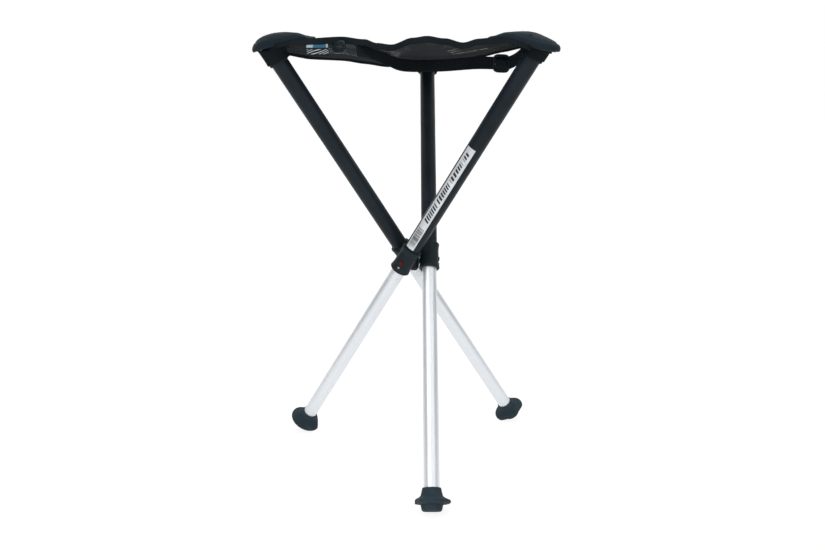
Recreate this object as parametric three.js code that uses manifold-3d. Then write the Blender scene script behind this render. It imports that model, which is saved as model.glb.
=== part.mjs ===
// Three leg folding stool with telescopic legs. Millimetres, +Z up, floor at z = 0.
// Three legs cross at a central hub. Each leg is an upper tube in a hub sleeve and a
// lower tube that slides inside it. A triangle of fabric is carried on the leg tops.
import * as THREE from 'three';
import { mergeVertices, toCreasedNormals } from 'three/addons/utils/BufferGeometryUtils.js';
import Module from 'manifold-3d';

const wasm = await Module();
wasm.setup();

// ---- driving dimensions -------------------------------------------------------------
const HUB_Z = 320.4;            // height of the point where the legs cross
const SEAT_Z = HUB_Z + 300;     // underside of the hem; the seat is laid out from here
const HUB_R = 24;               // each leg axis passes this far from the stool axis
const TILT = 34.4;              // lean of an open leg from vertical, degrees
const LEG_ANGLES = [210, 330, 90];  // where each leg top points, seen from above

const UPPER_OD = 24.8, UPPER_ID = 23.0, UPPER_BOTTOM = -14, UPPER_TOP = 372;
const LOWER_OD = 22.4, LOWER_ID = 20.0, LOWER_BOTTOM = -370, LOWER_TOP = 30;
const SLEEVE_OD = 31.6, SLEEVE_WAIST = 29.2, SLEEVE_ID = 25.4, SLEEVE_HALF = 21;
const CAP_OD = 29.4, CAP_BOTTOM = 350, CAP_TOP = 375.6;
const BUSH_ID = 22.6;

const CORE_R = 7.6, CORE_HALF = 17;
const PIN_D = 5, PIN_HEAD_D = 9;
const BUTTON_S = -3, BUTTON_ANGLE = 11, BUTTON_D = 7.6;
const RIVET_S = -11.6, RIVET_D = 2.6;

const FOOT_RIM = -350, FOOT_FLANGE = -368.4, FOOT_FLANGE_R = 26.5, FOOT_END = -381.3;
const FOOT_NECK_R = 15.7;       // where the boot runs out into its flange
const FOOT_FLAT = 21.2, FOOT_FLAT_ANGLES = [134, 194];  // let the feet nest when packed

const SEAT_TWIST = 6.46;        // the leg offset turns the seat triangle about the axis
const CORNER_R = 204;           // stool axis to the centre of a rounded seat corner
const CORNER_ROUND = 31, EDGE_MID = 120;
const PANEL_Z = [SEAT_Z + 11.4, SEAT_Z + 14.6], HEM_Z = [SEAT_Z, SEAT_Z + 18];
const HEM_T = 3.2, GAP = 0.3;
const PANEL_R = 188;            // the panels stop short of the leg tops
const STRAP_T = 1.8, STRAP_Z = [SEAT_Z - 21, SEAT_Z - 5];
// Plan of the slack strap, from the front hem to the pocket on the right-front leg.
const STRAP_PATH = [[-68, -112], [-54, -88], [-38, -58], [-13, -22], [40, 0], [92, -5],
  [120, -12], [138, -25], [149, -52], [154, -88]];
const BUCKLE_AT = [129, -18], BUCKLE_TURN = -34;
const LABEL_ANGLE = 226, LABEL_R = 178.6, LABEL_TURN = 1;
const STRIP_S = [24, 206], STRIP_ANGLE = -1, STRIP_HALF = 33;

// ---- small helpers ------------------------------------------------------------------
const rad = (deg) => deg * Math.PI / 180;

function toSolid(geometry) {
  const g = geometry.clone();
  g.deleteAttribute('normal');
  g.deleteAttribute('uv');
  const m = mergeVertices(g, 1e-4);
  const tri = [];
  for (let i = 0; i < m.index.count; i += 3) {
    const [a, b, c] = [m.index.getX(i), m.index.getX(i + 1), m.index.getX(i + 2)];
    if (a !== b && b !== c && a !== c) tri.push(a, b, c);
  }
  return new wasm.Manifold(new wasm.Mesh({
    numProp: 3,
    vertProperties: new Float32Array(m.attributes.position.array),
    triVerts: new Uint32Array(tri),
  }));
}

function toGeometry(solid) {
  const mesh = solid.getMesh();
  const g = new THREE.BufferGeometry();
  g.setAttribute('position', new THREE.BufferAttribute(new Float32Array(mesh.vertProperties), 3));
  g.setIndex(new THREE.BufferAttribute(new Uint32Array(mesh.triVerts), 1));
  return g;
}

const cut = (a, ...tools) => tools.reduce((s, t) => s.subtract(t), a);

// Turned shape about the local Z axis from [radius, height] points, anticlockwise.
function turned(points, segments = 36) {
  const profile = [...points, points[0]].map(([r, z]) => new THREE.Vector2(r, z));
  return toSolid(new THREE.LatheGeometry(profile, segments).rotateX(Math.PI / 2));
}

function disc(radius, z0, z1, segments = 36) {
  return turned([[0, z0], [radius, z0], [radius, z1], [0, z1]], segments);
}

function ring(outer, inner, z0, z1, segments = 36) {
  return turned([[inner, z0], [outer, z0], [outer, z1], [inner, z1]], segments);
}

// Rod along a radial direction of the local frame, at height z and angle deg about Z.
function radialRod(radius, r0, r1, z, deg = 0, segments = 20) {
  const g = new THREE.CylinderGeometry(radius, radius, r1 - r0, segments);
  g.rotateZ(Math.PI / 2).translate((r0 + r1) / 2, 0, 0).rotateZ(rad(deg)).translate(0, 0, z);
  return toSolid(g);
}

function box(w, d, h, x = 0, y = 0, z = 0, deg = 0) {
  return toSolid(new THREE.BoxGeometry(w, d, h).translate(x, y, z).rotateZ(rad(deg)));
}

function extruded(points, z0, z1) {
  const shape = new THREE.Shape(points);
  const g = new THREE.ExtrudeGeometry(shape, { depth: z1 - z0, bevelEnabled: false });
  return toSolid(g.translate(0, 0, z0));
}

// ---- frames -------------------------------------------------------------------------
// Leg frame: X points out of the hub along the hinge pin, Z points up the leg.
function legFrame(deg) {
  const [c, s] = [Math.cos(rad(deg)), Math.sin(rad(deg))];
  const [ct, st] = [Math.cos(rad(TILT)), Math.sin(rad(TILT))];
  const x = new THREE.Vector3(s, -c, 0);
  const z = new THREE.Vector3(st * c, st * s, ct);
  const y = new THREE.Vector3().crossVectors(z, x);
  return new THREE.Matrix4().makeBasis(x, y, z).setPosition(HUB_R * s, -HUB_R * c, HUB_Z);
}

const group = new THREE.Group();
group.name = 'three_leg_stool';

function add(name, solid, frame, colour, roughness = 0.6, metalness = 0) {
  let g = toGeometry(solid);
  if (frame) g.applyMatrix4(frame);
  g = toCreasedNormals(g, rad(35));
  const material = new THREE.MeshStandardMaterial({ color: colour, roughness, metalness });
  const mesh = new THREE.Mesh(g, material);
  mesh.name = name;
  group.add(mesh);
}

const INK = 0x1c242c, SILVER = 0xd4d8dc, RED = 0xa02028, RUBBER = 0x2a333b, STEEL = 0x9aa0a6;

// ---- hub core -----------------------------------------------------------------------
const pinFrame = (deg) => new THREE.Matrix4().makeRotationZ(rad(deg - 90))
  .setPosition(0, 0, HUB_Z);
let core = turned([
  [0, -CORE_HALF - 4], [4.6, -CORE_HALF - 4], [CORE_R, -CORE_HALF], [CORE_R, CORE_HALF],
  [4.6, CORE_HALF + 4], [0, CORE_HALF + 4],
]);
for (const deg of LEG_ANGLES) {
  core = core.subtract(radialRod(PIN_D / 2 + 0.05, 2.1, CORE_R + 2, 0, deg - 90));
}
add('hub_core', core, new THREE.Matrix4().setPosition(0, 0, HUB_Z), INK, 0.7);

// ---- parts repeated on each leg -----------------------------------------------------
// Sleeve: barrel with a flared lip at each end, a boss for the hinge pin on the inside,
// a pocket for the release button and a seat for the tube rivet on the outside.
function sleeve() {
  const [h, r, w, b] = [SLEEVE_HALF, SLEEVE_OD / 2, SLEEVE_WAIST / 2, SLEEVE_ID / 2];
  const barrel = turned([
    [b, -h], [r - 1.2, -h], [r, -h + 1.2], [r, -h + 2.6], [w + 0.4, -h + 7], [w, -h + 11],
    [w, h - 11], [w + 0.4, h - 7], [r, h - 2.4], [r, h - 1], [r - 0.9, h], [b, h],
  ], 40);
  return cut(barrel,
    radialRod(PIN_D / 2 + 0.08, 8, 20, 0, 180),
    radialRod(PIN_HEAD_D / 2 + 0.25, 8, 13.9, 0, 180),
    radialRod(BUTTON_D / 2 + 0.3, 13.5, 20, BUTTON_S, BUTTON_ANGLE),
    radialRod(2.9, 8, 20, BUTTON_S, BUTTON_ANGLE),
    radialRod(RIVET_D / 2 + 0.15, 8, 20, RIVET_S, BUTTON_ANGLE));
}

function upperTube() {
  return cut(ring(UPPER_OD / 2, UPPER_ID / 2, UPPER_BOTTOM, UPPER_TOP, 40),
    radialRod(2.9, 8, 16, BUTTON_S, BUTTON_ANGLE),
    radialRod(RIVET_D / 2 + 0.15, 8, 16, RIVET_S, BUTTON_ANGLE));
}

function lowerTube() {
  const r = LOWER_OD / 2, groove = 0.25;
  const outer = [[r, LOWER_BOTTOM]];
  for (const z of [-38, -34.5, -31]) {
    outer.push([r, z - 0.8], [r - groove, z - 0.5], [r - groove, z + 0.5], [r, z + 0.8]);
  }
  outer.push([r, LOWER_TOP], [LOWER_ID / 2, LOWER_TOP], [LOWER_ID / 2, LOWER_BOTTOM]);
  return cut(turned(outer, 40), radialRod(3.4, 8, 16, BUTTON_S, BUTTON_ANGLE));
}

// Leaf spring folded to a U, with the locking stud on one arm.
function snapSpring() {
  const [a, b, t] = [8.4, -8.4, 0.9];
  const path = [[a, 12], [a, -24], [a - 2.6, -29], [b + 2.6, -29], [b, -24], [b, 12],
    [b + t, 12], [b + t, -23.7], [b + 3, -28], [a - 3, -28], [a - t, -23.7], [a - t, 12]];
  const shape = new THREE.Shape(path.map(([x, z]) => new THREE.Vector2(x, z)));
  const g = new THREE.ExtrudeGeometry(shape, { depth: 7, bevelEnabled: false });
  g.translate(0, 0, -3.5).rotateX(Math.PI / 2);
  const leaf = toSolid(g);
  const stud = toSolid(new THREE.CylinderGeometry(2.9, 2.9, 3.1, 24)
    .rotateZ(Math.PI / 2).translate(9.4, 0, BUTTON_S));
  return leaf.add(stud).rotate([0, 0, BUTTON_ANGLE]);
}

// Rubber boot: socket round the tube, a wide drooping flange and a short pad under it. The
// underside is cut level with the floor while the leg stands open.
function foot() {
  const inner = LOWER_OD / 2 + 0.3;
  const boot = turned([
    [0, FOOT_END], [12.5, FOOT_END], [14.2, FOOT_END + 1.7], [FOOT_NECK_R, FOOT_FLANGE - 4],
    [FOOT_FLANGE_R - 2.4, FOOT_FLANGE - 2.8], [FOOT_FLANGE_R - 0.5, FOOT_FLANGE - 1.8],
    [FOOT_FLANGE_R, FOOT_FLANGE - 0.4], [FOOT_FLANGE_R - 0.2, FOOT_FLANGE + 1.2],
    [FOOT_FLANGE_R - 1.4, FOOT_FLANGE + 2.3], [FOOT_NECK_R + 3, FOOT_FLANGE + 5],
    [FOOT_NECK_R, FOOT_FLANGE + 7.4], [14.2, FOOT_RIM - 5], [13.3, FOOT_RIM - 0.8],
    [12.8, FOOT_RIM], [inner, FOOT_RIM], [inner, LOWER_BOTTOM - 2.6], [0, LOWER_BOTTOM - 2.6],
  ], 40);
  const flats = FOOT_FLAT_ANGLES.map((deg) =>
    box(20, 80, 16, FOOT_FLAT + 10, 0, FOOT_FLANGE, deg));
  return cut(boot, ...flats);
}

const floorCut = toSolid(new THREE.BoxGeometry(900, 900, 100).translate(0, 0, -50));

LEG_ANGLES.forEach((deg, i) => {
  const n = i + 1;
  const frame = legFrame(deg);
  add(`hinge_pin_${n}`, radialRod(PIN_D / 2, 2.2, 11.3, 0)
    .add(radialRod(PIN_HEAD_D / 2, 10.15, 11.3, 0)), pinFrame(deg), STEEL, 0.35, 1);
  add(`hub_sleeve_${n}`, sleeve(), frame, INK, 0.65);
  add(`sleeve_rivet_${n}`, radialRod(RIVET_D / 2, 11.7, 15.5, RIVET_S, BUTTON_ANGLE)
    .add(radialRod(RIVET_D / 2 + 0.5, 15.3, 15.8, RIVET_S, BUTTON_ANGLE)),
    frame, STEEL, 0.35, 1);
  add(`upper_tube_${n}`, upperTube(), frame, INK, 0.4, 0.6);
  add(`slide_bush_${n}`, turned([
    [BUSH_ID / 2, -20.4], [12.4, -20.4], [12.4, UPPER_BOTTOM - GAP],
    [BUSH_ID / 2, UPPER_BOTTOM - GAP]]), frame, INK, 0.8);
  add(`top_cap_${n}`, turned([
    [0, UPPER_TOP + GAP], [UPPER_OD / 2 + GAP, UPPER_TOP + GAP], [UPPER_OD / 2 + GAP, CAP_BOTTOM],
    [CAP_OD / 2 - 0.6, CAP_BOTTOM], [CAP_OD / 2, CAP_BOTTOM + 0.8], [CAP_OD / 2, CAP_TOP - 1.4],
    [CAP_OD / 2 - 1.4, CAP_TOP], [0, CAP_TOP]]), frame, INK, 0.7);
  add(`lower_tube_${n}`, lowerTube(), frame, SILVER, 0.35, 0.9);
  add(`guide_plug_${n}`, turned([
    [0, 14], [LOWER_ID / 2 - 0.15, 14], [LOWER_ID / 2 - 0.15, LOWER_TOP + 0.2],
    [LOWER_OD / 2, LOWER_TOP + 0.2], [LOWER_OD / 2, LOWER_TOP + 3], [0, LOWER_TOP + 3]]),
    frame, INK, 0.8);
  add(`snap_spring_${n}`, snapSpring(), frame, STEEL, 0.35, 1);
  add(`release_button_${n}`, radialRod(BUTTON_D / 2, 14.8, 15.3, BUTTON_S, BUTTON_ANGLE)
    .add(radialRod(BUTTON_D / 2 - 0.8, 14.8, 15.9, BUTTON_S, BUTTON_ANGLE))
    .add(radialRod(2.5, 13.8, 15, BUTTON_S, BUTTON_ANGLE)), frame, RED, 0.45);
  const toWorld = new THREE.Matrix4().copy(frame);
  const boot = foot().transform(toWorld.elements.slice()).subtract(floorCut);
  add(`foot_${n}`, boot, null, RUBBER, 0.9);
  add(`foot_washer_${n}`, disc(LOWER_OD / 2 - 0.2, LOWER_BOTTOM - 2.3, LOWER_BOTTOM - 0.3),
    frame, STEEL, 0.4, 1);
});

// Printed strip on the right-front upper tube.
const polar = (r, a) => new THREE.Vector2(r * Math.cos(a), r * Math.sin(a));
const strip = ring(UPPER_OD / 2 + 0.35, UPPER_OD / 2 + 0.06, ...STRIP_S, 72);
const wedge = extruded([polar(0, 0), polar(40, rad(-STRIP_HALF)), polar(40, rad(STRIP_HALF))],
  0, 220).rotate([0, 0, STRIP_ANGLE]);
add('tube_sticker', strip.intersect(wedge), legFrame(LEG_ANGLES[1]), 0xdfe3e6, 0.3, 0.3);

// ---- seat ---------------------------------------------------------------------------
// Plan outline: a triangle with rounded corners over the leg tops and hollow sides.
const cornerAngle = (deg) => rad(deg - SEAT_TWIST);

function seatOutline(inset) {
  const points = [];
  const lead = rad(66);
  const angles = [90, 210, 330].map(cornerAngle);
  angles.forEach((a, i) => {
    const centre = polar(CORNER_R, a);
    const arc = [];
    for (let j = 0; j <= 12; j++) {
      arc.push(polar(CORNER_ROUND - inset, a - lead + 2 * lead * j / 12).add(centre));
    }
    points.push(...arc);
    const b = angles[(i + 1) % 3];
    const start = arc[arc.length - 1];
    const end = polar(CORNER_ROUND - inset, b - lead).add(polar(CORNER_R, b));
    const mid = polar(EDGE_MID - inset, a + rad(60));
    const control = mid.clone().multiplyScalar(2).sub(start.clone().add(end).multiplyScalar(0.5));
    const curve = new THREE.QuadraticBezierCurve(start, control, end);
    points.push(...curve.getPoints(16).slice(1, -1));
  });
  return points;
}

// Third of the plan that belongs to one leg, from the centre out.
function sector(angle) {
  const start = polar(GAP, angle);
  return extruded([start, polar(420, angle - rad(60)).add(start),
    polar(700, angle).add(start), polar(420, angle + rad(60)).add(start)], 0, 900);
}

const cornerCentres = LEG_ANGLES.map((deg) => polar(CORNER_R, cornerAngle(deg)));

LEG_ANGLES.forEach((deg, i) => {
  const n = i + 1;
  const a = cornerAngle(deg);
  const centre = polar(CORNER_R - 4, a);
  const tip = box(200, 400, 1800, PANEL_R + 100, 0, 0, a * 180 / Math.PI);
  const panel = extruded(seatOutline(HEM_T + GAP), ...PANEL_Z);
  add(`seat_panel_${n}`, panel.intersect(sector(a)).subtract(tip), null, 0x20262c, 0.95);

  // Padded hood over the leg top: level on the seat side, sloping down over the tip.
  const side = [[134, 18.2], [201, 19], [238, -1], [238, 9], [199, 27], [134, 25.5]];
  const slab = new THREE.ExtrudeGeometry(
    new THREE.Shape(side.map(([r, z]) => new THREE.Vector2(r, SEAT_Z + z))),
    { depth: 140, bevelEnabled: false });
  slab.translate(0, 0, -70).rotateX(Math.PI / 2).rotateZ(a);
  const spot = disc(66, 0, 900).translate([centre.x, centre.y, 0]);
  const hood = toSolid(slab).intersect(extruded(seatOutline(0.4), 0, 900)).intersect(spot);
  add(`seat_corner_${n}`, hood, null, INK, 0.9);
});

// Hem along each side of the seat, between the corner hoods.
const hemRing = extruded(seatOutline(0), ...HEM_Z).subtract(extruded(seatOutline(HEM_T), 0, 900));
const cornerCuts = cornerCentres.map((c) => disc(44, 0, 900).translate([c.x, c.y, 0]));
const hems = cut(hemRing, ...cornerCuts);
for (const [name, deg] of [['front', 270], ['right', 30], ['left', 150]]) {
  add(`seat_hem_${name}`, hems.intersect(sector(cornerAngle(deg))), null, 0x151a20, 0.9);
}

// Carry strap: flat webbing that hangs on edge under the seat, with a buckle and a ring
// in front of it near its right end.
const strapLine = new THREE.SplineCurve(STRAP_PATH.map(([x, y]) => new THREE.Vector2(x, y)));
const strapSide = (offset) => Array.from({ length: 49 }, (_, i) => {
  const along = strapLine.getTangent(i / 48);
  return strapLine.getPoint(i / 48).add(new THREE.Vector2(-along.y, along.x).multiplyScalar(offset));
});
const strapPlan = [...strapSide(-STRAP_T / 2), ...strapSide(STRAP_T / 2).reverse()];
add('carry_strap', extruded(strapPlan, ...STRAP_Z), null, 0x14191f, 0.9);
const atBuckle = new THREE.Matrix4().makeRotationZ(rad(BUCKLE_TURN))
  .setPosition(...BUCKLE_AT, SEAT_Z - 13);
add('strap_buckle', box(22, 4, 17, 0, -5), atBuckle, INK, 0.6);
add('strap_ring', toSolid(new THREE.TorusGeometry(6, 1, 12, 32).rotateX(Math.PI / 2)
  .translate(0, -8.4, 0)), atBuckle, STEEL, 0.3, 1);

// Woven label sewn outside the front hem, next to the first leg, hanging below it.
const labelAt = polar(LABEL_R, cornerAngle(LABEL_ANGLE));
add('care_label', box(22, 0.6, 16).rotate([0, 0, LABEL_TURN])
  .translate([labelAt.x, labelAt.y, SEAT_Z + 2.5]), null, 0xe8ecf0, 0.8);

// ---- centre the part over the origin ------------------------------------------------
const bounds = new THREE.Box3().setFromObject(group);
const shift = bounds.getCenter(new THREE.Vector3());
for (const mesh of group.children) mesh.geometry.translate(-shift.x, -shift.y, 0);

export default group;
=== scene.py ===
"""Looks for the three leg stool: fabric seat, padded corners, straps, finishes and studio."""
import math
import bpy
import bmesh
import numpy as np
from mathutils import Matrix, Vector


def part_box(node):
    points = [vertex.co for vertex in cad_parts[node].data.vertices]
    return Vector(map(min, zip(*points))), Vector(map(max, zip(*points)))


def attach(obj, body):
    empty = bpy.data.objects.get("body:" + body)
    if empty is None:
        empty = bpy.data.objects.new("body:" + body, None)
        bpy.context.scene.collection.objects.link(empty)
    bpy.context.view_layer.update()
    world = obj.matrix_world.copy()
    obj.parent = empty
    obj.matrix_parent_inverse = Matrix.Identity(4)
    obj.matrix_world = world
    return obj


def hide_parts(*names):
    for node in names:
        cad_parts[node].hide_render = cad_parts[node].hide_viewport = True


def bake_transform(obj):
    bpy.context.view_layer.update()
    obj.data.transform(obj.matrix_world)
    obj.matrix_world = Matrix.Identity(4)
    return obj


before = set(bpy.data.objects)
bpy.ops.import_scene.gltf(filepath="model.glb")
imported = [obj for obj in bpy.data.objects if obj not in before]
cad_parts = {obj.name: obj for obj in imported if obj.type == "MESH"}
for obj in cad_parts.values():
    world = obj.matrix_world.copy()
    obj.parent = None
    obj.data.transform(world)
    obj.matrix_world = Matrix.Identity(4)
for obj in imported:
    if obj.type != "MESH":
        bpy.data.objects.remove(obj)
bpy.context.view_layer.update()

# ---- the stool's own dimensions, in metres -------------------------------------------
low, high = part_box("hub_core")
HUB = (low + high) / 2
SEAT_Z = HUB.z + 0.300              # level from which the seat's heights are measured
TILT = math.radians(34.4)
LEG_ANGLES = {1: 210.0, 2: 330.0, 3: 90.0}
HUB_R = 0.024
SEAT_TWIST = math.radians(6.46)
CORNER_R, CORNER_ROUND = 0.204, 0.031   # middle of a rounded corner, and its radius
CORNER_ARC = math.radians(66)       # half the turn that a rounded corner makes
EDGE_MID = 0.120                    # from the hub's axis to the middle of a hollow side
HOOD_CENTRE = 0.200                 # middle of a corner hood, from the hub's axis
HOOD_R = {1: 0.051, 2: 0.060, 3: 0.058}     # how far its arms reach from there


def leg_frame(k):
    """Origin on the hinge, then X out along the pin, Y outward and down, Z up the leg."""
    a = math.radians(LEG_ANGLES[k])
    d = Vector((math.cos(a), math.sin(a), 0))
    x = Vector((math.sin(a), -math.cos(a), 0))
    z = d * math.sin(TILT) + Vector((0, 0, math.cos(TILT)))
    return HUB + x * HUB_R, x, z.cross(x), z


def corner_angle(k):
    """Plan direction of a seat corner, which is turned a little from its leg."""
    return math.radians(LEG_ANGLES[k]) - SEAT_TWIST


def flat(r, a):
    """Plan vector of a length in a direction."""
    return Vector((r * math.cos(a), r * math.sin(a)))


def polar(r, a, z=0.0):
    """Point at a distance from the hub's axis in a plan direction."""
    return Vector((HUB.x + r * math.cos(a), HUB.y + r * math.sin(a), z))


def smooth(t):
    """Eased step from 0 to 1."""
    t = min(1.0, max(0.0, t))
    return t * t * (3 - 2 * t)


def lookup(table, x):
    """Smooth curve through (x, value) pairs."""
    if x <= table[0][0]:
        return table[0][1]
    for (x0, y0), (x1, y1) in zip(table, table[1:]):
        if x <= x1:
            return y0 + (y1 - y0) * smooth((x - x0) / (x1 - x0))
    return table[-1][1]


# ---- material building ---------------------------------------------------------------
class Nodes:
    """A Principled material with short calls for its node tree.

    In node(), i0, i1 and so on give inputs by number, and other words give them by name.
    """

    def __init__(self, name, **sockets):
        self.mat = bpy.data.materials.new(name)
        self.mat.use_nodes = True
        self.tree = self.mat.node_tree
        self.bsdf = next(n for n in self.tree.nodes if n.type == "BSDF_PRINCIPLED")
        for key, value in sockets.items():
            self.bsdf.inputs[key.replace("_", " ")].default_value = value
        self.coord = self.tree.nodes.new("ShaderNodeTexCoord").outputs["Object"]

    def node(self, kind, settings=None, **inputs):
        n = self.tree.nodes.new("ShaderNode" + kind)
        for key, value in (settings or {}).items():
            setattr(n, key, value)
        for key, value in inputs.items():
            socket = n.inputs[int(key[1:])] if key[0] == "i" and key[1:].isdigit() \
                else n.inputs[key.replace("_", " ")]
            self.feed(socket, value)
        return n

    def feed(self, socket, value):
        if isinstance(value, bpy.types.NodeSocket):
            self.tree.links.new(value, socket)
        else:
            socket.default_value = value

    def math(self, operation, a, b=0.0):
        return self.node("Math", {"operation": operation}, i0=a, i1=b).outputs[0]

    def dot(self, vector, axis):
        return self.node("VectorMath", {"operation": "DOT_PRODUCT"},
                         i0=vector, i1=tuple(axis)).outputs["Value"]

    def noise(self, scale, detail=3.0, rough=0.55, vector=None):
        return self.node("TexNoise", Vector=vector or self.coord, Scale=scale, Detail=detail,
                         Roughness=rough).outputs["Fac"]

    def ramp(self, value, *stops):
        n = self.node("ValToRGB", Fac=value)
        ramp = n.color_ramp
        while len(ramp.elements) < len(stops):
            ramp.elements.new(0.5)
        for element, (place, colour) in zip(ramp.elements, stops):
            element.position = place
            element.color = (*colour, 1)
        return n.outputs["Color"]

    def mix(self, factor, a, b):
        n = self.tree.nodes.new("ShaderNodeMix")
        n.data_type = "RGBA"
        for index, value in ((0, factor), (6, a), (7, b)):
            if not isinstance(value, bpy.types.NodeSocket) and index:
                value = (*value, 1)
            self.feed(n.inputs[index], value)
        return n.outputs[2]

    def span(self, value, a, b, c, d):
        """Value carried from the range a..b to c..d, held at the ends."""
        return self.node("MapRange", {"clamp": True},
                         i0=value, i1=a, i2=b, i3=c, i4=d).outputs[0]

    def from_origin(self, origin):
        """Coordinate measured from a point."""
        return self.node("VectorMath", {"operation": "SUBTRACT"},
                         i0=self.coord, i1=tuple(origin)).outputs[0]

    def set(self, name, value):
        self.feed(self.bsdf.inputs[name], value)

    def bump(self, height, strength, distance):
        n = self.node("Bump", Height=height, Strength=strength, Distance=distance)
        self.set("Normal", n.outputs["Normal"])


def powder_coat(name, dark, light, rough=0.36):
    """Dark powder coat: fine orange peel, faint cloudiness, a little rubbed dust."""
    m = Nodes(name, Roughness=rough, Specular_IOR_Level=0.14)
    cloud = m.noise(14.0, 4.0)
    speck = m.noise(900.0, 2.0)
    colour = m.ramp(cloud, (0.3, dark), (0.75, light))
    m.set("Base Color", m.mix(m.span(speck, 0.62, 0.75, 0, 0.25), colour, (0.04, 0.05, 0.06)))
    m.set("Roughness", m.span(m.noise(45.0, 5.0), 0.3, 0.7, rough - 0.05, rough + 0.1))
    m.bump(m.noise(520.0, 2.0), 0.12, 0.0004)
    return m.mat


def anodised(name, axis, origin):
    """Satin anodised tube: fine lines drawn along its length."""
    m = Nodes(name, Metallic=0.85, Roughness=0.42)
    x, y, z = axis
    at = m.from_origin(origin)
    fine, long = 1400.0, 14.0
    drawn = m.node("CombineXYZ", X=m.math("MULTIPLY", m.dot(at, x), fine),
                   Y=m.math("MULTIPLY", m.dot(at, y), fine),
                   Z=m.math("MULTIPLY", m.dot(at, z), long)).outputs[0]
    lines = m.noise(1.0, 3.0, 0.6, drawn)
    m.set("Base Color", m.ramp(lines, (0.25, (0.70, 0.73, 0.76)), (0.75, (0.80, 0.83, 0.86))))
    m.set("Roughness", m.span(lines, 0.25, 0.75, 0.38, 0.5))
    m.bump(lines, 0.06, 0.0002)
    return m.mat


def moulded(name, dark, light, rough, grain=700.0, strength=0.25):
    """Moulded plastic or rubber with a fine even grain and slight colour drift."""
    m = Nodes(name, Roughness=rough, Specular_IOR_Level=0.14)
    m.set("Base Color", m.ramp(m.noise(30.0, 4.0), (0.3, dark), (0.75, light)))
    m.set("Roughness", m.span(m.noise(grain / 6, 4.0), 0.3, 0.7, rough - 0.07, rough + 0.07))
    m.bump(m.noise(grain, 3.0, 0.6), strength, 0.0003)
    return m.mat


def plain_steel(name):
    """Plain steel with slight changes of shade and gloss."""
    m = Nodes(name, Metallic=1.0, Roughness=0.3)
    m.set("Base Color", m.ramp(m.noise(160.0, 4.0), (0.3, (0.2, 0.21, 0.22)),
                               (0.7, (0.34, 0.35, 0.36))))
    m.set("Roughness", m.span(m.noise(90.0, 5.0), 0.3, 0.7, 0.24, 0.42))
    return m.mat


def weave_height(m, pitch):
    """Plain weave over the plan of the seat: two crossed sets of threads."""
    warp, weft = (
        m.math("SINE", m.math("MULTIPLY", m.dot(m.coord, axis), 2 * math.pi / pitch))
        for axis in ((1, 0.12, 0.35), (-0.12, 1, 0.35)))
    return m.math("MULTIPLY", warp, weft)


def woven(name, dark, light, pitch, rough, sheen):
    """Woven cloth or tape, with a painted highlight making the raised threads paler."""
    m = Nodes(name, Roughness=rough, Specular_IOR_Level=0.05)
    m.bsdf.inputs["Sheen Weight"].default_value = sheen
    m.bsdf.inputs["Sheen Roughness"].default_value = 0.45
    threads = weave_height(m, pitch)
    cloud = m.noise(22.0, 5.0)
    base = m.ramp(cloud, (0.3, dark), (0.8, light))
    # Painted highlight: the colour is mixed towards a paler tone where the threads stand
    # highest.
    m.set("Base Color", m.mix(m.span(threads, -1, 1, 0, 0.5), base,
                              tuple(c * 1.8 for c in light)))
    m.bump(threads, 0.35, 0.00025)
    return m.mat


def open_mesh(name):
    """Knitted mesh: staggered round holes in dark yarn, with painted shade round each hole."""
    m = Nodes(name, Roughness=0.9, Specular_IOR_Level=0.0)
    pitch, row = 0.0034, math.sqrt(3)
    hole, hole_edge = 0.22, 0.28        # radius of a hole and of its soft edge, in pitches
    u = m.math("DIVIDE", m.dot(m.coord, (0.996, -0.09, 0)), pitch)
    v = m.math("DIVIDE", m.dot(m.coord, (0.09, 0.996, 0)), pitch * row)
    near = None
    for shift in (0.0, 0.5):
        du, dv = (m.math("SUBTRACT", m.math("FRACT", m.math("ADD", w, shift)), 0.5)
                  for w in (u, v))
        dv = m.math("MULTIPLY", dv, row)
        d = m.math("SQRT", m.math("ADD", m.math("MULTIPLY", du, du), m.math("MULTIPLY", dv, dv)))
        near = d if near is None else m.math("MINIMUM", near, d)
    m.set("Alpha", m.span(near, hole, hole_edge, 0.0, 1.0))
    yarn = m.noise(1500.0, 3.0)
    # Painted shade: the yarn colour darkens towards each hole's rim, where the ground dips.
    m.set("Base Color", m.mix(m.span(near, 0.26, 0.55, 0, 1),
                              (0.022, 0.025, 0.026), (0.048, 0.053, 0.054)))
    ground = m.span(near, 0.25, 0.5, 0, 1)
    m.bump(m.math("ADD", ground, m.math("MULTIPLY", yarn, 0.3)), 0.5, 0.0004)
    m.mat.surface_render_method = "DITHERED"
    return m.mat


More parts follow.
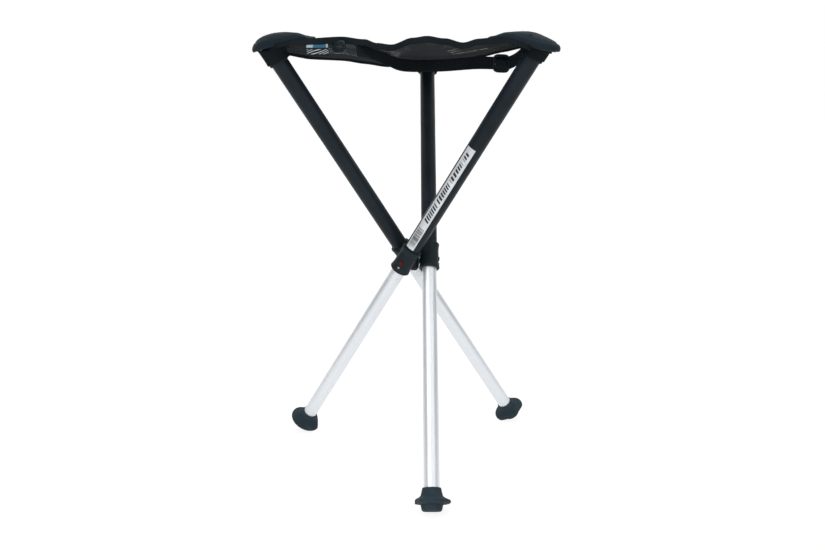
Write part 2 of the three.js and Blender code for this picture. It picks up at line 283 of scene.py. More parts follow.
def printed_strip(name, k):
    """Silvery film with a grey bar block at its lower end and slanted plain bars above it."""
    origin, x, y, z = leg_frame(k)
    m = Nodes(name, Roughness=0.3, Metallic=0.15)
    at = m.from_origin(origin)
    along = m.dot(at, z)
    turn = math.radians(-1)
    across = m.dot(at, -math.sin(turn) * x + math.cos(turn) * y)

    def between(value, a, b, soft=0.0002):
        return m.math("MULTIPLY", m.span(value, a - soft, a + soft, 0, 1),
                      m.span(value, b - soft, b + soft, 1, 0))

    stripe = m.math("MULTIPLY", m.math("FLOOR", m.math("MULTIPLY", along, 1250.0)), 0.73)
    uneven = m.node("TexNoise", {"noise_dimensions": "1D"}, W=stripe, Scale=3.0,
                    Detail=0.0).outputs["Fac"]
    bars = m.math("GREATER_THAN", uneven, 0.5)
    block = m.math("MULTIPLY", between(along, 0.029, 0.062), between(across, -0.0052, 0.0052))
    film = m.ramp(m.noise(60.0, 3.0), (0.3, (0.5, 0.52, 0.55)), (0.7, (0.66, 0.69, 0.72)))
    ink = m.mix(bars, (0.40, 0.41, 0.42), (0.14, 0.145, 0.15))
    colour = m.mix(block, film, ink)
    lean = m.math("ADD", along, m.math("MULTIPLY", across, 0.35))
    drift = m.math("MULTIPLY", m.math("SINE", m.math("MULTIPLY", lean, 140.0)), 0.0016)
    spread = m.math("MULTIPLY", m.math("ADD", lean, drift), 190.0)
    dash = m.math("LESS_THAN", m.math("FRACT", spread), 0.6)
    gap = m.math("LESS_THAN", m.math("FRACT", m.math("MULTIPLY", lean, 27.0)), 0.86)
    half_height = m.span(along, 0.07, 0.19, 0.0042, 0.0030)
    row = between(along, 0.07, 0.197, 0.0005)
    row = m.math("MULTIPLY", row, m.math("LESS_THAN", m.math("ABSOLUTE", across), half_height))
    row = m.math("MULTIPLY", m.math("MULTIPLY", row, dash), gap)
    m.set("Base Color", m.mix(row, colour, (0.012, 0.015, 0.02)))
    return m.mat


def label_cloth(name, angle):
    """Small tag: pale and blue band at the top, slanted pale stitches on dark cloth below."""
    m = Nodes(name, Roughness=0.8, Specular_IOR_Level=0.12)
    height = m.dot(m.coord, (0, 0, 1))
    across = m.dot(m.coord, (math.cos(angle), math.sin(angle), 0.55))
    slant = m.math("FRACT", m.math("MULTIPLY", across, 640.0))
    stitch = m.math("MULTIPLY", m.math("LESS_THAN", slant, 0.3),
                    m.span(height, SEAT_Z - 0.0034, SEAT_Z - 0.0030, 0, 1))
    stitch = m.math("MULTIPLY", stitch, m.span(height, SEAT_Z + 0.0030, SEAT_Z + 0.0034, 1, 0))
    band = m.mix(m.span(m.noise(60.0, 1.0), 0.46, 0.52, 0, 1),
                 (0.3, 0.36, 0.4), (0.03, 0.11, 0.18))
    ground = m.mix(stitch, (0.01, 0.013, 0.017), (0.42, 0.43, 0.45))
    top = m.span(height, SEAT_Z + 0.0050, SEAT_Z + 0.0056, 0, 1)
    m.set("Base Color", m.mix(top, ground, band))
    return m.mat


INK, INK_LIGHT = (0.006, 0.012, 0.015), (0.012, 0.021, 0.026)
MATERIAL = {
    "powder": powder_coat("dark_powder_coat", (0.006, 0.010, 0.014), (0.011, 0.018, 0.024)),
    "hub": moulded("hub_nylon", INK, INK_LIGHT, 0.5),
    "glossy": moulded("end_nylon", INK, INK_LIGHT, 0.16, 400.0, 0.1),
    "cap": moulded("cap_nylon", (0.006, 0.010, 0.013), (0.011, 0.017, 0.021), 0.6),
    "bush": moulded("bush_nylon", (0.02, 0.021, 0.023), (0.03, 0.032, 0.035), 0.5),
    "button": moulded("button_red", (0.05, 0.002, 0.004), (0.11, 0.005, 0.008), 0.2,
                      300.0, 0.05),
    "rubber": moulded("foot_rubber", (0.014, 0.025, 0.033), (0.027, 0.044, 0.056), 0.72,
                      500.0, 0.35),
    "steel": plain_steel("plain_steel"),
    "tape": woven("hem_tape", (0.004, 0.006, 0.008), (0.009, 0.013, 0.016),
                  0.0012, 0.82, 0.01),
    "hood": woven("corner_cloth", (0.005, 0.010, 0.013), (0.012, 0.020, 0.026),
                  0.0008, 0.6, 0.02),
    "cloth": woven("lining_cloth", (0.003, 0.005, 0.006), (0.008, 0.011, 0.013),
                   0.0008, 0.82, 0.01),
    "mesh": open_mesh("seat_mesh_cloth"),
    "strip": printed_strip("printed_strip", 2),
    "thread": moulded("stitch_thread", (0.02, 0.03, 0.04), (0.05, 0.065, 0.08), 0.6, 900.0, 0.3),
    "label": label_cloth("woven_label", corner_angle(1) + math.radians(55)),
}


SHARP_ANGLE = math.radians(35)
LEG_MATERIALS = {
    "hub_sleeve": "hub", "sleeve_rivet": "steel", "upper_tube": "powder",
    "slide_bush": "bush", "top_cap": "cap", "guide_plug": "bush", "foot": "rubber",
    "foot_washer": "steel", "snap_spring": "steel", "release_button": "button",
    "hinge_pin": "steel",
}


def finish_node(name, material):
    """Puts a material on a CAD node and smooths its round faces for shading."""
    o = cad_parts[name]
    o.data.materials.clear()
    o.data.materials.append(material)
    o.data.polygons.foreach_set("use_smooth", [True] * len(o.data.polygons))
    o.data.set_sharp_from_angle(angle=SHARP_ANGLE)


for k in (1, 2, 3):
    origin, *axes = leg_frame(k)
    finish_node(f"lower_tube_{k}", anodised(f"satin_tube_{k}", axes, origin))
    for name, key in LEG_MATERIALS.items():
        finish_node(f"{name}_{k}", MATERIAL[key])
finish_node("hub_core", MATERIAL["hub"])
finish_node("tube_sticker", MATERIAL["strip"])


# ---- seat plan and heights -----------------------------------------------------------
def seat_outline():
    """(angle, radius) round the plan: rounded corners over the legs, hollow sides between."""
    points = []
    corners = [corner_angle(3), corner_angle(1), corner_angle(2)]
    for i, a in enumerate(corners):
        b = corners[(i + 1) % 3]
        arc = [flat(CORNER_ROUND, a - CORNER_ARC + 2 * CORNER_ARC * j / 24) + flat(CORNER_R, a)
               for j in range(25)]
        end = flat(CORNER_ROUND, b - CORNER_ARC) + flat(CORNER_R, b)
        control = 2 * flat(EDGE_MID, a + math.radians(60)) - (arc[-1] + end) / 2
        side = [(1 - t) ** 2 * arc[-1] + 2 * t * (1 - t) * control + t * t * end
                for t in (j / 32 for j in range(1, 32))]
        points += arc + side
    pairs = sorted((math.atan2(p.y, p.x) % (2 * math.pi), p.length) for p in points)
    return np.array(pairs)


OUTLINE = seat_outline()


def edge_r(theta):
    """Distance from the hub's axis to the seat's outline."""
    return float(np.interp(theta % (2 * math.pi), OUTLINE[:, 0], OUTLINE[:, 1],
                           period=2 * math.pi))


# Height of the hem's top edge along each side, by distance from the middle of the side.
# Each side runs anticlockwise from its first corner. The tape is slack, so it waves.
SIDES = {
    1: [(-0.20, 0.0205), (-0.160, 0.0200), (-0.133, 0.0172), (-0.082, 0.0192), (-0.050, 0.0155),
        (-0.034, 0.0105), (-0.014, 0.0082), (0.015, 0.0163), (0.034, 0.0182), (0.058, 0.0146),
        (0.083, 0.0088), (0.103, 0.0130), (0.122, 0.0140), (0.145, 0.0155), (0.20, 0.0185)],
    2: [(-0.20, 0.0200), (-0.12, 0.0170), (-0.06, 0.0145), (0.0, 0.0120), (0.07, 0.0115),
        (0.12, 0.0100), (0.20, 0.0140)],
    3: [(-0.20, 0.0140), (-0.13, 0.0075), (-0.09, 0.0050), (-0.03, 0.0070), (0.02, 0.0092),
        (0.09, 0.0082), (0.14, 0.0120), (0.20, 0.0200)],
}
HEM_H = {1: 0.0085, 2: 0.0090, 3: 0.0100}      # height of the hem on each side


def side_at(theta):
    """(side number, distance along it from its middle) for a plan direction."""
    for k in (1, 2, 3):
        f = ((theta - corner_angle(k)) % (2 * math.pi)) / (2 * math.pi / 3)
        if f < 1:
            return k, edge_r(theta) * math.sin((f - 0.5) * 2 * math.pi / 3)
    return 3, 0.2


def hem_top(theta):
    """Height of the hem's top edge in a plan direction."""
    k, q = side_at(theta)
    return SEAT_Z + lookup(SIDES[k], q)


def near_corner(theta):
    """Angle from the nearest corner, and that corner."""
    turns = [(math.remainder(theta - corner_angle(k), 2 * math.pi), k) for k in (1, 2, 3)]
    return min(turns, key=lambda turn: abs(turn[0]))


SAG = SEAT_Z - 0.0015               # height of the cloth at its middle


def cloth_z(r, theta):
    """Height of the seat cloth: it hangs in a shallow bowl and joins the hem at its middle."""
    s = min(1.0, r / edge_r(theta))
    side, _ = side_at(theta)
    edge = hem_top(theta) - 0.55 * HEM_H[side]
    ripple = 0.0011 * math.sin(11 * theta + 2.0) + 0.0008 * math.sin(23 * theta + 0.7 + 3 * s)
    return SAG + (edge - SAG) * s ** 1.7 + ripple * math.sin(math.pi * s) * s


def make(name, verts, faces, material):
    """New object with its faces turned outward and shaded smooth."""
    mesh = bpy.data.meshes.new(name)
    mesh.from_pydata([tuple(v) for v in verts], [], faces)
    mesh.validate()
    bm = bmesh.new()
    bm.from_mesh(mesh)
    bmesh.ops.recalc_face_normals(bm, faces=bm.faces)
    bm.to_mesh(mesh)
    bm.free()
    mesh.polygons.foreach_set("use_smooth", [True] * len(mesh.polygons))
    o = bpy.data.objects.new(name, mesh)
    bpy.context.scene.collection.objects.link(o)
    mesh.materials.append(material)
    return o


def grid_faces(rows, cols, closed=False, base=0):
    """Quads of a rows by cols lattice of points, the columns joined round if closed."""
    faces = []
    for i in range(rows - 1):
        for j in range(cols if closed else cols - 1):
            a, b = base + i * cols + j, base + i * cols + (j + 1) % cols
            faces.append((a, b, b + cols, a + cols))
    return faces


def flipped(faces):
    """The same faces turned over."""
    return [f[::-1] for f in faces]


def swept(sections, base=0):
    """Faces for a list of equal closed loops joined one to the next, with both ends closed."""
    rows, cols = len(sections), len(sections[0])
    faces = grid_faces(rows, cols, closed=True, base=base)
    faces.append(tuple(base + j for j in range(cols))[::-1])
    faces.append(tuple(base + (rows - 1) * cols + j for j in range(cols)))
    return faces


def blend_to_leg(o):
    """Bakes the object's placement into its mesh."""
    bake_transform(o)


# ---- seat cloth: one spacer mesh of two layers, split in three for the folding legs ---
CLOTH_EDGE = 0.0020                 # from the outline in to the edge of the cloth
CLOTH_END = 0.190                   # where the cloth stops at a corner, inside the hood
CLOTH_THICK = 0.0005                # between the two layers
LINING_FROM = 0.140                 # from here out to the corner the cloth is closed
ROWS, COLS = 30, 61
INNER = 0.004                       # first ring, as a share of the cloth's reach


def cloth_reach(theta):
    """Distance from the hub's axis to the edge of the cloth."""
    tau, _ = near_corner(theta)
    return min(edge_r(theta) - CLOTH_EDGE, CLOTH_END / math.cos(tau))


def cloth_point(s, theta):
    """Point of the cloth at a share s of its reach."""
    r = s * cloth_reach(theta)
    return polar(r, theta, cloth_z(r, theta))


def cloth_normal(s, theta):
    """Upward normal of the cloth, taken from points a small step apart."""
    d = 1e-3
    a = cloth_point(s + d, theta) - cloth_point(max(s - d, 1e-4), theta)
    b = cloth_point(s, theta + d) - cloth_point(s, theta - d)
    return a.cross(b).normalized() if s > 0.01 else Vector((0, 0, 1))


for k in (1, 2, 3):
    verts, normals = [], []
    for i in range(ROWS):
        s = INNER + (1 - INNER) * i / (ROWS - 1)
        for j in range(COLS):
            theta = corner_angle(k) + math.radians(-60 + 120 * j / (COLS - 1))
            verts.append(cloth_point(s, theta))
            normals.append(cloth_normal(s, theta))
    verts.append(polar(0, 0, SAG))
    normals.append(Vector((0, 0, 1)))
    count = len(verts)
    layer = grid_faces(ROWS, COLS) + [(count - 1, j, j + 1) for j in range(COLS - 1)]
    border = [COLS * i for i in range(ROWS)]
    border += list(range(COLS * (ROWS - 1) + 1, COLS * ROWS))
    border += [COLS * i + COLS - 1 for i in range(ROWS - 2, -1, -1)] + [count - 1]
    rim = [(b, a, a + count, b + count) for a, b in zip(border, border[1:] + border[:1])]
    verts += [v - Vector((0, 0, CLOTH_THICK)) for v in verts]
    normals += [-n for n in normals]
    faces = layer + [tuple(i + count for i in f[::-1]) for f in layer] + rim
    cloth = make(f"seat_cloth_{k}", verts, faces, MATERIAL["mesh"])
    cloth.data.materials.append(MATERIAL["cloth"])
    for p in cloth.data.polygons:
        c = p.center - Vector((HUB.x, HUB.y, 0))
        along = c.x * math.cos(corner_angle(k)) + c.y * math.sin(corner_angle(k))
        p.material_index = 1 if along > LINING_FROM else 0
    cloth.data.normals_split_custom_set_from_vertices([tuple(n) for n in normals])
    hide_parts(f"seat_panel_{k}")
    blend_to_leg(cloth)


# ---- height of the padded hoods -------------------------------------------------------
NOSE_FROM = 0.190                   # from here out a hood rolls down past the leg


def hood_mid(k, point):
    """Height of a hood's middle surface at a point, and the point's distance out.

    The arms lie on the hem. The nose falls in a straight slope on corner 2 and in a dome
    on the other two.
    """
    a = corner_angle(k)
    d = point - Vector((HUB.x, HUB.y, 0))
    along = d.x * math.cos(a) + d.y * math.sin(a)
    across = -d.x * math.sin(a) + d.y * math.cos(a)
    over = max(0.0, along - NOSE_FROM)
    dome = 0.026 * (1 - math.sqrt(max(0.0, 1 - (over / 0.0485) ** 2)))
    slope = 0.46 * (over * over / 0.032 if over < 0.016 else over - 0.008)
    fall, level = (slope, 0.0172) if k == 2 else (dome, 0.0226)
    droop = 0.0050 * min(1.0, (across / 0.03) ** 2) * smooth((along - 0.176) / 0.026)
    arm = smooth((0.196 - along) / 0.030) * smooth(abs(across) / 0.030)
    level += SEAT_Z
    level += arm * (hem_top(math.atan2(d.y, d.x)) + 0.0004 - level)     # 0.4 mm over the hem
    return level - fall - droop, along


# ---- hem tape: a folded band round the cloth's edge, two arms on each corner ----------
HEM_END = math.radians(8)           # the arms start this far from the corner
HOOD_SPAN = math.radians(16)        # nearer than this the tape stays under the hood
HEM_SECTIONS = 56                   # along one arm


def hem_section(theta, height, thick, top):
    """Rounded upright band at one plan direction, with a sewn waist."""
    r = edge_r(theta) - thick / 2
    loop = []
    for j in range(16):
        a = 2 * math.pi * j / 16
        c, s = math.cos(a), math.sin(a)
        out = math.copysign(abs(c) ** 0.55, c) * thick / 2
        up = math.copysign(abs(s) ** 0.75, s) * height / 2
        out *= 1 - 0.18 * math.exp(-((up + 0.2 * height) / (0.12 * height)) ** 2)
        loop.append(polar(r + out, theta, top - height / 2 + up))
    return loop


for k in (1, 2, 3):
    verts, faces = [], []
    for sign in (-1, 1):
        sections = []
        for i in range(HEM_SECTIONS):
            tau = sign * (HEM_END + (math.radians(60) - HEM_END) * i / (HEM_SECTIONS - 1))
            theta = corner_angle(k) + tau
            side, _ = side_at(theta - sign * 1e-4)
            wobble = 0.0004 * math.sin(160 * theta) + 0.0003 * math.sin(67 * theta + 1)
            top = hem_top(theta)
            if abs(tau) < HOOD_SPAN:
                under = hood_mid(k, polar(edge_r(theta), theta))[0] - 0.0010
                top += (min(top, under) - top) * smooth((HOOD_SPAN - abs(tau)) / math.radians(2))
            sections.append(hem_section(theta, HEM_H[side], 0.0036 + wobble, top))
        faces += swept(sections, base=len(verts))
        verts += [v for loop in sections for v in loop]
    hem = make(f"seat_hem_{k}", verts, faces, MATERIAL["tape"])
    for side, pair in (("front", (1, 2)), ("right", (2, 3)), ("left", (3, 1))):
        if k in pair:
            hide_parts(f"seat_hem_{side}")
    blend_to_leg(hem)


# ---- padded hoods over the leg tops ---------------------------------------------------
HOOD_COLS = 72                      # points round a hood
HOOD_LEVELS = (0.12, 0.3, 0.48, 0.62, 0.74, 0.82, 0.87, 0.905, 0.93, 0.955, 0.975, 0.99, 1.0)
HOOD_CROWN = 0.0063                 # half the padding's thickness at its middle
SEAM = 0.885                        # place of the seam, as a share of the hood's reach


def hood_edge(k, psi):
    """Distance from the hood's middle to its edge in one direction, found by halving."""
    a = corner_angle(k)
    centre = flat(HOOD_CENTRE, a)
    lo, hi = 0.0, HOOD_R[k]
    ray = flat(1, a + psi)
    for _ in range(24):
        mid = (lo + hi) / 2
        p = centre + ray * mid
        if p.length < edge_r(math.atan2(p.y, p.x)) + 0.0012:
            lo = mid
        else:
            hi = mid
    return lo


def hood(k):
    """Verts and faces of a corner's hood, and the call that places a point on it."""
    a = corner_angle(k)
    cols, rows = HOOD_COLS, len(HOOD_LEVELS)
    centre = polar(HOOD_CENTRE, a)
    reach = [hood_edge(k, 2 * math.pi * j / cols) for j in range(cols)]
    for _ in range(2):
        reach = [(reach[j - 1] + 2 * reach[j] + reach[(j + 1) % cols]) / 4 for j in range(cols)]

    def place(s, j, side):
        """Point at a share s of the reach in column j, above (1) or below (-1)."""
        psi = 2 * math.pi * j / cols
        p = centre + Vector((math.cos(a + psi), math.sin(a + psi), 0)) * reach[j] * s
        z, along = hood_mid(k, p)
        full = 0.0052 + 0.0075 * smooth((along - 0.160) / 0.035)
        if side < 0:
            full *= 1 + (0.4 if k == 2 else 0.7) * smooth((along - NOSE_FROM) / 0.03)
        puff = (1 - s ** 7) ** 0.5
        seam = 0.9 * math.exp(-((s - SEAM) / 0.018) ** 2)
        return Vector((p.x, p.y, z + side * full / 2 * (puff - 0.35 * seam)))

    verts, faces = [], []
    z, _ = hood_mid(k, centre)
    for side, levels in ((1, HOOD_LEVELS), (-1, HOOD_LEVELS[:-1])):
        base = len(verts)
        verts += [place(s, j, side) for s in levels for j in range(cols)]
        crown = len(verts)
        verts.append(Vector((centre.x, centre.y, z + side * HOOD_CROWN)))
        shell = grid_faces(len(levels), cols, closed=True, base=base)
        shell += [(crown, base + j, base + (j + 1) % cols) for j in range(cols)]
        faces += shell if side > 0 else flipped(shell)
    rim = (rows - 1) * cols
    low_rim = rows * cols + 1 + (rows - 2) * cols
    faces += [(rim + j, low_rim + j, low_rim + (j + 1) % cols, rim + (j + 1) % cols)
              for j in range(cols)]
    return verts, faces, place


def stitches(name, points, normals):
    """Short raised thread stitches along a path."""
    size, gap, thread = 0.0013, 0.0030, 0.00042     # half length, spacing, radius
    verts, faces, wait = [], [], 0.0
    for p, q, n in zip(points, points[1:], normals):
        wait += (q - p).length
        if wait < gap:
            continue
        wait = 0.0
        along = (q - p).normalized()
        side = along.cross(n).normalized()
        loops = []
        for t, w in ((-1.0, 0.25), (-0.6, 0.9), (0.0, 1.0), (0.6, 0.9), (1.0, 0.25)):
            c = p + along * t * size
            loops.append([c + (side * math.cos(b) + n * math.sin(b)) * thread * w
                          for b in (2 * math.pi * i / 6 for i in range(6))])
        faces += swept(loops, base=len(verts))
        verts += [v for loop in loops for v in loop]
    return make(name, verts, faces, MATERIAL["thread"])


def corner_pocket(k):
    """Sleeve round the leg top under the hood, flared on the seat side."""
    a = corner_angle(k)
    out = Vector((math.cos(a), math.sin(a), 0))
    across = Vector((-math.sin(a), math.cos(a), 0))
    origin, _, _, leg = leg_frame(k)
    verts, rings, sides = [], 14, 40
    for thick in (0.0, 0.0011):
        for i in range(rings):
            t = i / (rings - 1)
            for j in range(sides):
                psi = 2 * math.pi * j / sides
                inward = smooth(0.5 - 0.9 * math.cos(psi))
                z = SEAT_Z - 0.0095 + (0.0125 + 0.0150 * inward) * (1 - t)
                z -= 0.0075 * t * math.cos(psi)
                axis = origin + leg * ((z - HUB.z) / leg.z)
                flare = (1 - smooth(1.25 * t)) * inward
                rad_along = 0.0190 + 0.0095 * flare + thick
                rad_side = 0.0160 + 0.0085 * flare + thick
                crease = 1 + 0.025 * math.sin(7 * psi) * math.sin(math.pi * t)
                verts.append(Vector((axis.x, axis.y, z))
                             + out * rad_along * math.cos(psi) * crease
                             + across * rad_side * math.sin(psi) * crease)
    n = rings * sides
    faces = grid_faces(rings, sides, closed=True)
    faces += flipped(grid_faces(rings, sides, closed=True, base=n))
    for start in (0, (rings - 1) * sides):
        faces += [(start + j, start + (j + 1) % sides, start + (j + 1) % sides + n,
                   start + j + n) for j in range(sides)]
    return verts, faces


STEPS = 6                           # points of the seam for each column of the hood
for k in (1, 2, 3):
    verts, faces, place = hood(k)
    pad = make(f"corner_hood_{k}", verts, faces, MATERIAL["hood"])
    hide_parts(f"seat_corner_{k}")
    blend_to_leg(pad)
    path, normals = [], []
    for i in range(HOOD_COLS * STEPS):
        here, step = divmod(i, STEPS)
        ahead = (here + 1) % HOOD_COLS
        p = place(SEAM, here, 1).lerp(place(SEAM, ahead, 1), step / STEPS)
        n = (place(0.92, here, 1) - place(0.85, here, 1)).cross(
            place(SEAM, ahead, 1) - place(SEAM, here, 1)).normalized()
        path.append(p + n * 0.0002)
        normals.append(n)
    seam = stitches(f"hood_stitching_{k}", path, normals)
    blend_to_leg(seam)

    pocket = make(f"corner_pocket_{k}", *corner_pocket(k), MATERIAL["cloth"])
    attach(pocket, f"leg_{k}")


# ---- slack carry strap under the seat, with its buckle and ring ----------------------
# Middle of the webbing from the front hem to the right-front leg: plan place from the
# hub's axis, height from the seat level, and how far it leans from upright in degrees.
STRAP_PATH = [(-0.074, -0.114, 0.0040, -14), (-0.056, -0.090, 0.0012, -16),
              (-0.038, -0.058, -0.0052, -18), (-0.013, -0.022, -0.0125, -12),
              (0.040, 0.000, -0.0120, -5), (0.092, -0.005, -0.0092, 0),
              (0.120, -0.012, -0.0100, 5), (0.138, -0.025, -0.0110, 5),
              (0.149, -0.052, -0.0060, 0), (0.154, -0.088, 0.0020, 0)]
WEBBING = 0.0180                    # width of the strap
STRAP_SPLIT = 3.4 / 9               # share of the path where the second piece takes over
BUCKLE_AT = 6.55 / 9                # share of the path where the buckle is


def spline(points, t):
    """Point on a smooth curve through the given points, t from 0 to 1."""
    f = min(max(t, 0.0), 1.0) * (len(points) - 1)
    i = min(int(f), len(points) - 2)
    f -= i
    p = [Vector(points[min(max(j, 0), len(points) - 1)]) for j in (i - 1, i, i + 1, i + 2)]
    a = 2 * p[1]
    b = p[2] - p[0]
    c = 2 * p[0] - 5 * p[1] + 4 * p[2] - p[3]
    d = 3 * p[1] - p[0] - 3 * p[2] + p[3]
    return (a + b * f + c * f * f + d * f ** 3) / 2


def strap_frame(t):
    """Middle of the webbing, its direction, its width direction and its face direction."""
    here, ahead, behind = (spline(STRAP_PATH, t + step) for step in (0, 1e-3, -1e-3))
    tangent = Vector(ahead[:3]) - Vector(behind[:3])
    tangent.normalize()
    face = Vector((tangent.y, -tangent.x, 0)).normalized()
    lean = math.radians(here[3])
    up = tangent.cross(face).normalized()
    up = up if up.z > 0 else -up
    width = up * math.cos(lean) + face * math.sin(lean)
    middle = Vector(here[:3]) + Vector((HUB.x, HUB.y, SEAT_Z))
    return middle, tangent, width, tangent.cross(width)


for k, start, stop in ((1, 0.0, STRAP_SPLIT), (2, STRAP_SPLIT, 1.0)):
    sections = []
    for i in range(60):
        t = start + (stop - start) * i / 59
        middle, _, width, face = strap_frame(t)
        curl = 0.0012 * math.sin(19 * t + 0.6)
        wide = WEBBING * (1 + 0.22 * smooth((0.42 - t) / 0.3))
        loop = []
        for j in range(20):
            b = 2 * math.pi * j / 20
            up = math.copysign(abs(math.sin(b)) ** 0.4, math.sin(b)) * wide / 2
            off = math.copysign(abs(math.cos(b)) ** 0.6, math.cos(b)) * 0.0008
            off += curl * (1 - (2 * up / wide) ** 2)
            loop.append(middle + width * up + face * off)
        sections.append(loop)
    strap = make(f"carry_strap_{k}", [v for loop in sections for v in loop], swept(sections),
                 MATERIAL["tape"])
    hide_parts("carry_strap")
    blend_to_leg(strap)


ROD_SIDES = 10


def rod(verts, faces, points, radius, outward, closed=False):
    """Round rod through points, squeezed a little towards the given direction."""
    loops = []
    count = len(points)
    for i, p in enumerate(points):
        ahead = points[(i + 1) % count] if closed or i < count - 1 else p
        behind = points[i - 1] if closed or i else p
        t = (ahead - behind).normalized()
        n = t.cross(outward).normalized()
        loops.append([p + (n * math.cos(b) + outward * 0.85 * math.sin(b)) * radius
                      for b in (2 * math.pi * j / ROD_SIDES for j in range(ROD_SIDES))])
    base = len(verts)
    verts.extend(v for loop in loops for v in loop)
    if closed:
        for i in range(count):
            near, far = base + ROD_SIDES * i, base + ROD_SIDES * ((i + 1) % count)
            for j in range(ROD_SIDES):
                after = (j + 1) % ROD_SIDES
                faces.append((near + j, near + after, far + after, far + j))
    else:
        faces.extend(swept(loops, base=base))


def rounded_box(middle, along, up, half_w, half_h, power=0.45):
    """Closed path round a box with soft corners."""
    path, count = [], 40
    for j in range(count):
        c, s = math.cos(2 * math.pi * j / count), math.sin(2 * math.pi * j / count)
        path.append(middle + along * math.copysign(abs(c) ** power, c) * half_w
                    + up * math.copysign(abs(s) ** power, s) * half_h)
    return path


# Buckle: a moulded frame with two bars, threaded on the strap.
middle, along, up, face = strap_frame(BUCKLE_AT)
outward = face if face.y < 0 else -face
middle += outward * 0.0030
verts, faces = [], []
rod(verts, faces, rounded_box(middle, along, up, 0.0120, 0.0108), 0.0023, outward, closed=True)
for shift, thick in ((0.0, 0.0020), (0.0064, 0.0015)):
    bar = [middle + along * shift + up * z * 0.0102 for z in (-1, -0.5, 0, 0.5, 1)]
    rod(verts, faces, bar, thick, outward)
buckle = make("buckle_frame", verts, faces, MATERIAL["hub"])
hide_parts("strap_buckle")
blend_to_leg(buckle)

# Ring on the buckle's face.
verts, faces = [], []
centre = middle - along * 0.002 + outward * 0.0036 - up * 0.0008
ring = [centre + (along * math.cos(b) * 0.0058 + up * math.sin(b) * 0.0046)
        for b in (2 * math.pi * j / 36 for j in range(36))]
rod(verts, faces, ring, 0.0008, outward, closed=True)
strap_ring = make("ring_on_buckle", verts, faces, MATERIAL["steel"])
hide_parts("strap_ring")
blend_to_leg(strap_ring)

# Keeper: two short turns of webbing on the buckle, one under the other.
verts, faces = [], []
for drop, reach, thick in ((0.0, 0.0105, 0.0010), (-0.0052, 0.0088, 0.0009)):
    loops = []
    for i in range(13):
        a = math.pi * i / 12
        p = (middle + along * (0.002 + reach * math.cos(a))
             + outward * (0.0012 + 0.0052 * math.sin(a)) + up * drop)
        loops.append([p + up * s * 0.0066 + outward * c * thick
                      for c, s in ((1, 1), (1, 0.4), (1, -0.4), (1, -1),
                                   (-1, -1), (-1, -0.4), (-1, 0.4), (-1, 1))])
    faces += swept(loops, base=len(verts))
    verts += [v for loop in loops for v in loop]
keeper = make("strap_keeper", verts, faces, MATERIAL["tape"])
blend_to_leg(keeper)

# Small moulded end piece on the front hem: a frame with two bars.
theta = math.radians(229.5)
outward = polar(1, theta) - polar(0, theta)
along, up = Vector((-outward.y, outward.x, 0)), Vector((0, 0, 1))
middle = polar(edge_r(theta) + 0.0008, theta, SEAT_Z + 0.0058)
verts, faces = [], []
rod(verts, faces, rounded_box(middle, along, up, 0.0100, 0.0058, 0.6), 0.0026, outward,
    closed=True)
for rise in (-0.0024, 0.0024):
    bar = [middle + along * x + up * rise for x in (-0.0096, -0.0048, 0, 0.0048, 0.0096)]
    rod(verts, faces, bar, 0.0023, outward)
strap_end = make("strap_end", verts, faces, MATERIAL["glossy"])
blend_to_leg(strap_end)

# ---- woven label on the front hem -----------------------------------------------------
LABEL_ROWS, LABEL_COLS = 7, 19
LABEL_TOP, LABEL_DROP = 0.0100, 0.0155      # its top edge over the seat level, its height
LABEL_THICK = 0.0006
low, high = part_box("care_label")
middle = (low + high) / 2
facing = math.atan2(middle.y - HUB.y, middle.x - HUB.x)
verts = []
for side in (0, 1):
    for i in range(LABEL_ROWS):
        for j in range(LABEL_COLS):
            theta = facing + math.radians(-1.3 + 6.6 * j / (LABEL_COLS - 1))
            wave = 0.0006 * math.sin(0.9 * i + j * 0.4)
            out = edge_r(theta) - 0.0022 + LABEL_THICK * side + wave
            z = SEAT_Z + LABEL_TOP - LABEL_DROP * i / (LABEL_ROWS - 1)
            verts.append(polar(out, theta, z))
n = LABEL_ROWS * LABEL_COLS
faces = grid_faces(LABEL_ROWS, LABEL_COLS)
faces += flipped(grid_faces(LABEL_ROWS, LABEL_COLS, base=n))
border = list(range(LABEL_COLS))
border += [LABEL_COLS * i + LABEL_COLS - 1 for i in range(1, LABEL_ROWS)]
border += [n - LABEL_COLS + j for j in range(LABEL_COLS - 2, -1, -1)]
border += [LABEL_COLS * i for i in range(LABEL_ROWS - 2, 0, -1)]
faces += [(b, c, c + n, b + n) for b, c in zip(border, border[1:] + border[:1])]
label = make("woven_label", verts, faces, MATERIAL["label"])
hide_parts("care_label")
blend_to_leg(label)

# ---- studio ---------------------------------------------------------------------------
world = bpy.data.worlds.new("studio")
bpy.context.scene.world = world
world.use_nodes = True
background = world.node_tree.nodes["Background"]
background.inputs["Color"].default_value = (1, 1, 1, 1)
background.inputs["Strength"].default_value = 1.0


def plane(name, corners, material):
    """Flat four-cornered object of the studio."""
    mesh = bpy.data.meshes.new(name)
    mesh.from_pydata(corners, [], [(0, 1, 2, 3)])
    mesh.materials.append(material)
    o = bpy.data.objects.new(name, mesh)
    bpy.context.scene.collection.objects.link(o)
    return o


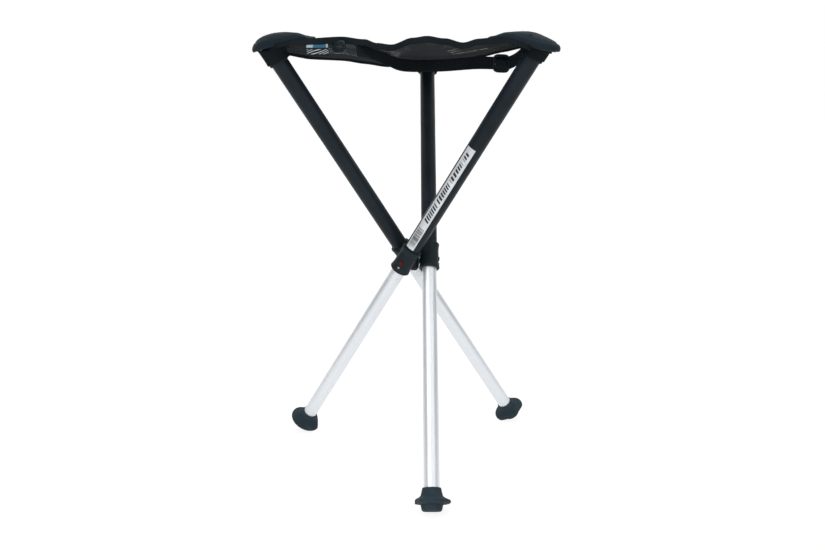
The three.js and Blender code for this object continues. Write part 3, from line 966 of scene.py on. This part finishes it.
pale = Nodes("pale_floor", Roughness=1.0, Emission_Color=(1, 1, 1, 1), Emission_Strength=0.88)
pale.set("Base Color", pale.ramp(pale.noise(1.5, 2.0), (0.3, (0.14, 0.14, 0.14)),
                                 (0.7, (0.15, 0.15, 0.15))))
FAR = 40                            # half the floor's width
floor = plane("floor", [(-FAR, -FAR, 0), (FAR, -FAR, 0), (FAR, FAR, 0), (-FAR, FAR, 0)],
              pale.mat)


def lamp(name, place, target, size, power):
    """White rectangular lamp that faces a point."""
    data = bpy.data.lights.new(name, "AREA")
    data.shape = "RECTANGLE"
    data.size, data.size_y = size
    data.energy = power
    o = bpy.data.objects.new(name, data)
    bpy.context.scene.collection.objects.link(o)
    o.location = place
    o.rotation_euler = (Vector(target) - Vector(place)).to_track_quat("-Z", "Y").to_euler()


lamp("key", (-1.3, -1.5, 1.9), (0, 0, 0.35), (1.0, 1.2), 14)
lamp("fill", (1.6, -1.2, 1.1), (0, 0, 0.35), (1.0, 1.4), 6)
lamp("top", (0.1, 0.3, 2.3), (0, 0, 0.4), (1.4, 1.4), 8)

# Grey cards out of the picture on both sides give the bright tubes their edges.
card_material = Nodes("card_grey", Roughness=0.9)
card_material.set("Base Color", card_material.ramp(card_material.noise(2.0), (0.3, (0.22,) * 3),
                                                   (0.7, (0.25,) * 3)))
for name, x in (("card_left", -1.15), ("card_right", 1.15)):
    card = plane(name, [(x, -1.0, 0.12), (x, 0.6, 0.12), (x, 0.6, 1.1), (x, -1.0, 1.1)],
                 card_material.mat)
    card.visible_camera = False
    card.visible_shadow = False

# ---- camera ---------------------------------------------------------------------------
LENS = 32.9
CAMERA_RISE, CAMERA_BACK, CAMERA_SIDE = 0.216, 1.158, -0.0024   # from the hub
PITCH = math.radians(90 - 11.96)
TURN, ROLL = math.radians(0.6), math.radians(-0.43)
camera = bpy.data.cameras.new("camera")
camera.sensor_width = 36
camera.lens = LENS
view = bpy.data.objects.new("camera", camera)
bpy.context.scene.collection.objects.link(view)
view.matrix_world = (Matrix.Translation((HUB.x, HUB.y, HUB.z + CAMERA_RISE))
                     @ Matrix.Rotation(TURN, 4, "Z")
                     @ Matrix.Translation((CAMERA_SIDE, -CAMERA_BACK, 0))
                     @ Matrix.Rotation(PITCH, 4, "X") @ Matrix.Rotation(ROLL, 4, "Z"))
bpy.context.scene.camera = view
bpy.context.scene.view_settings.view_transform = "Standard"
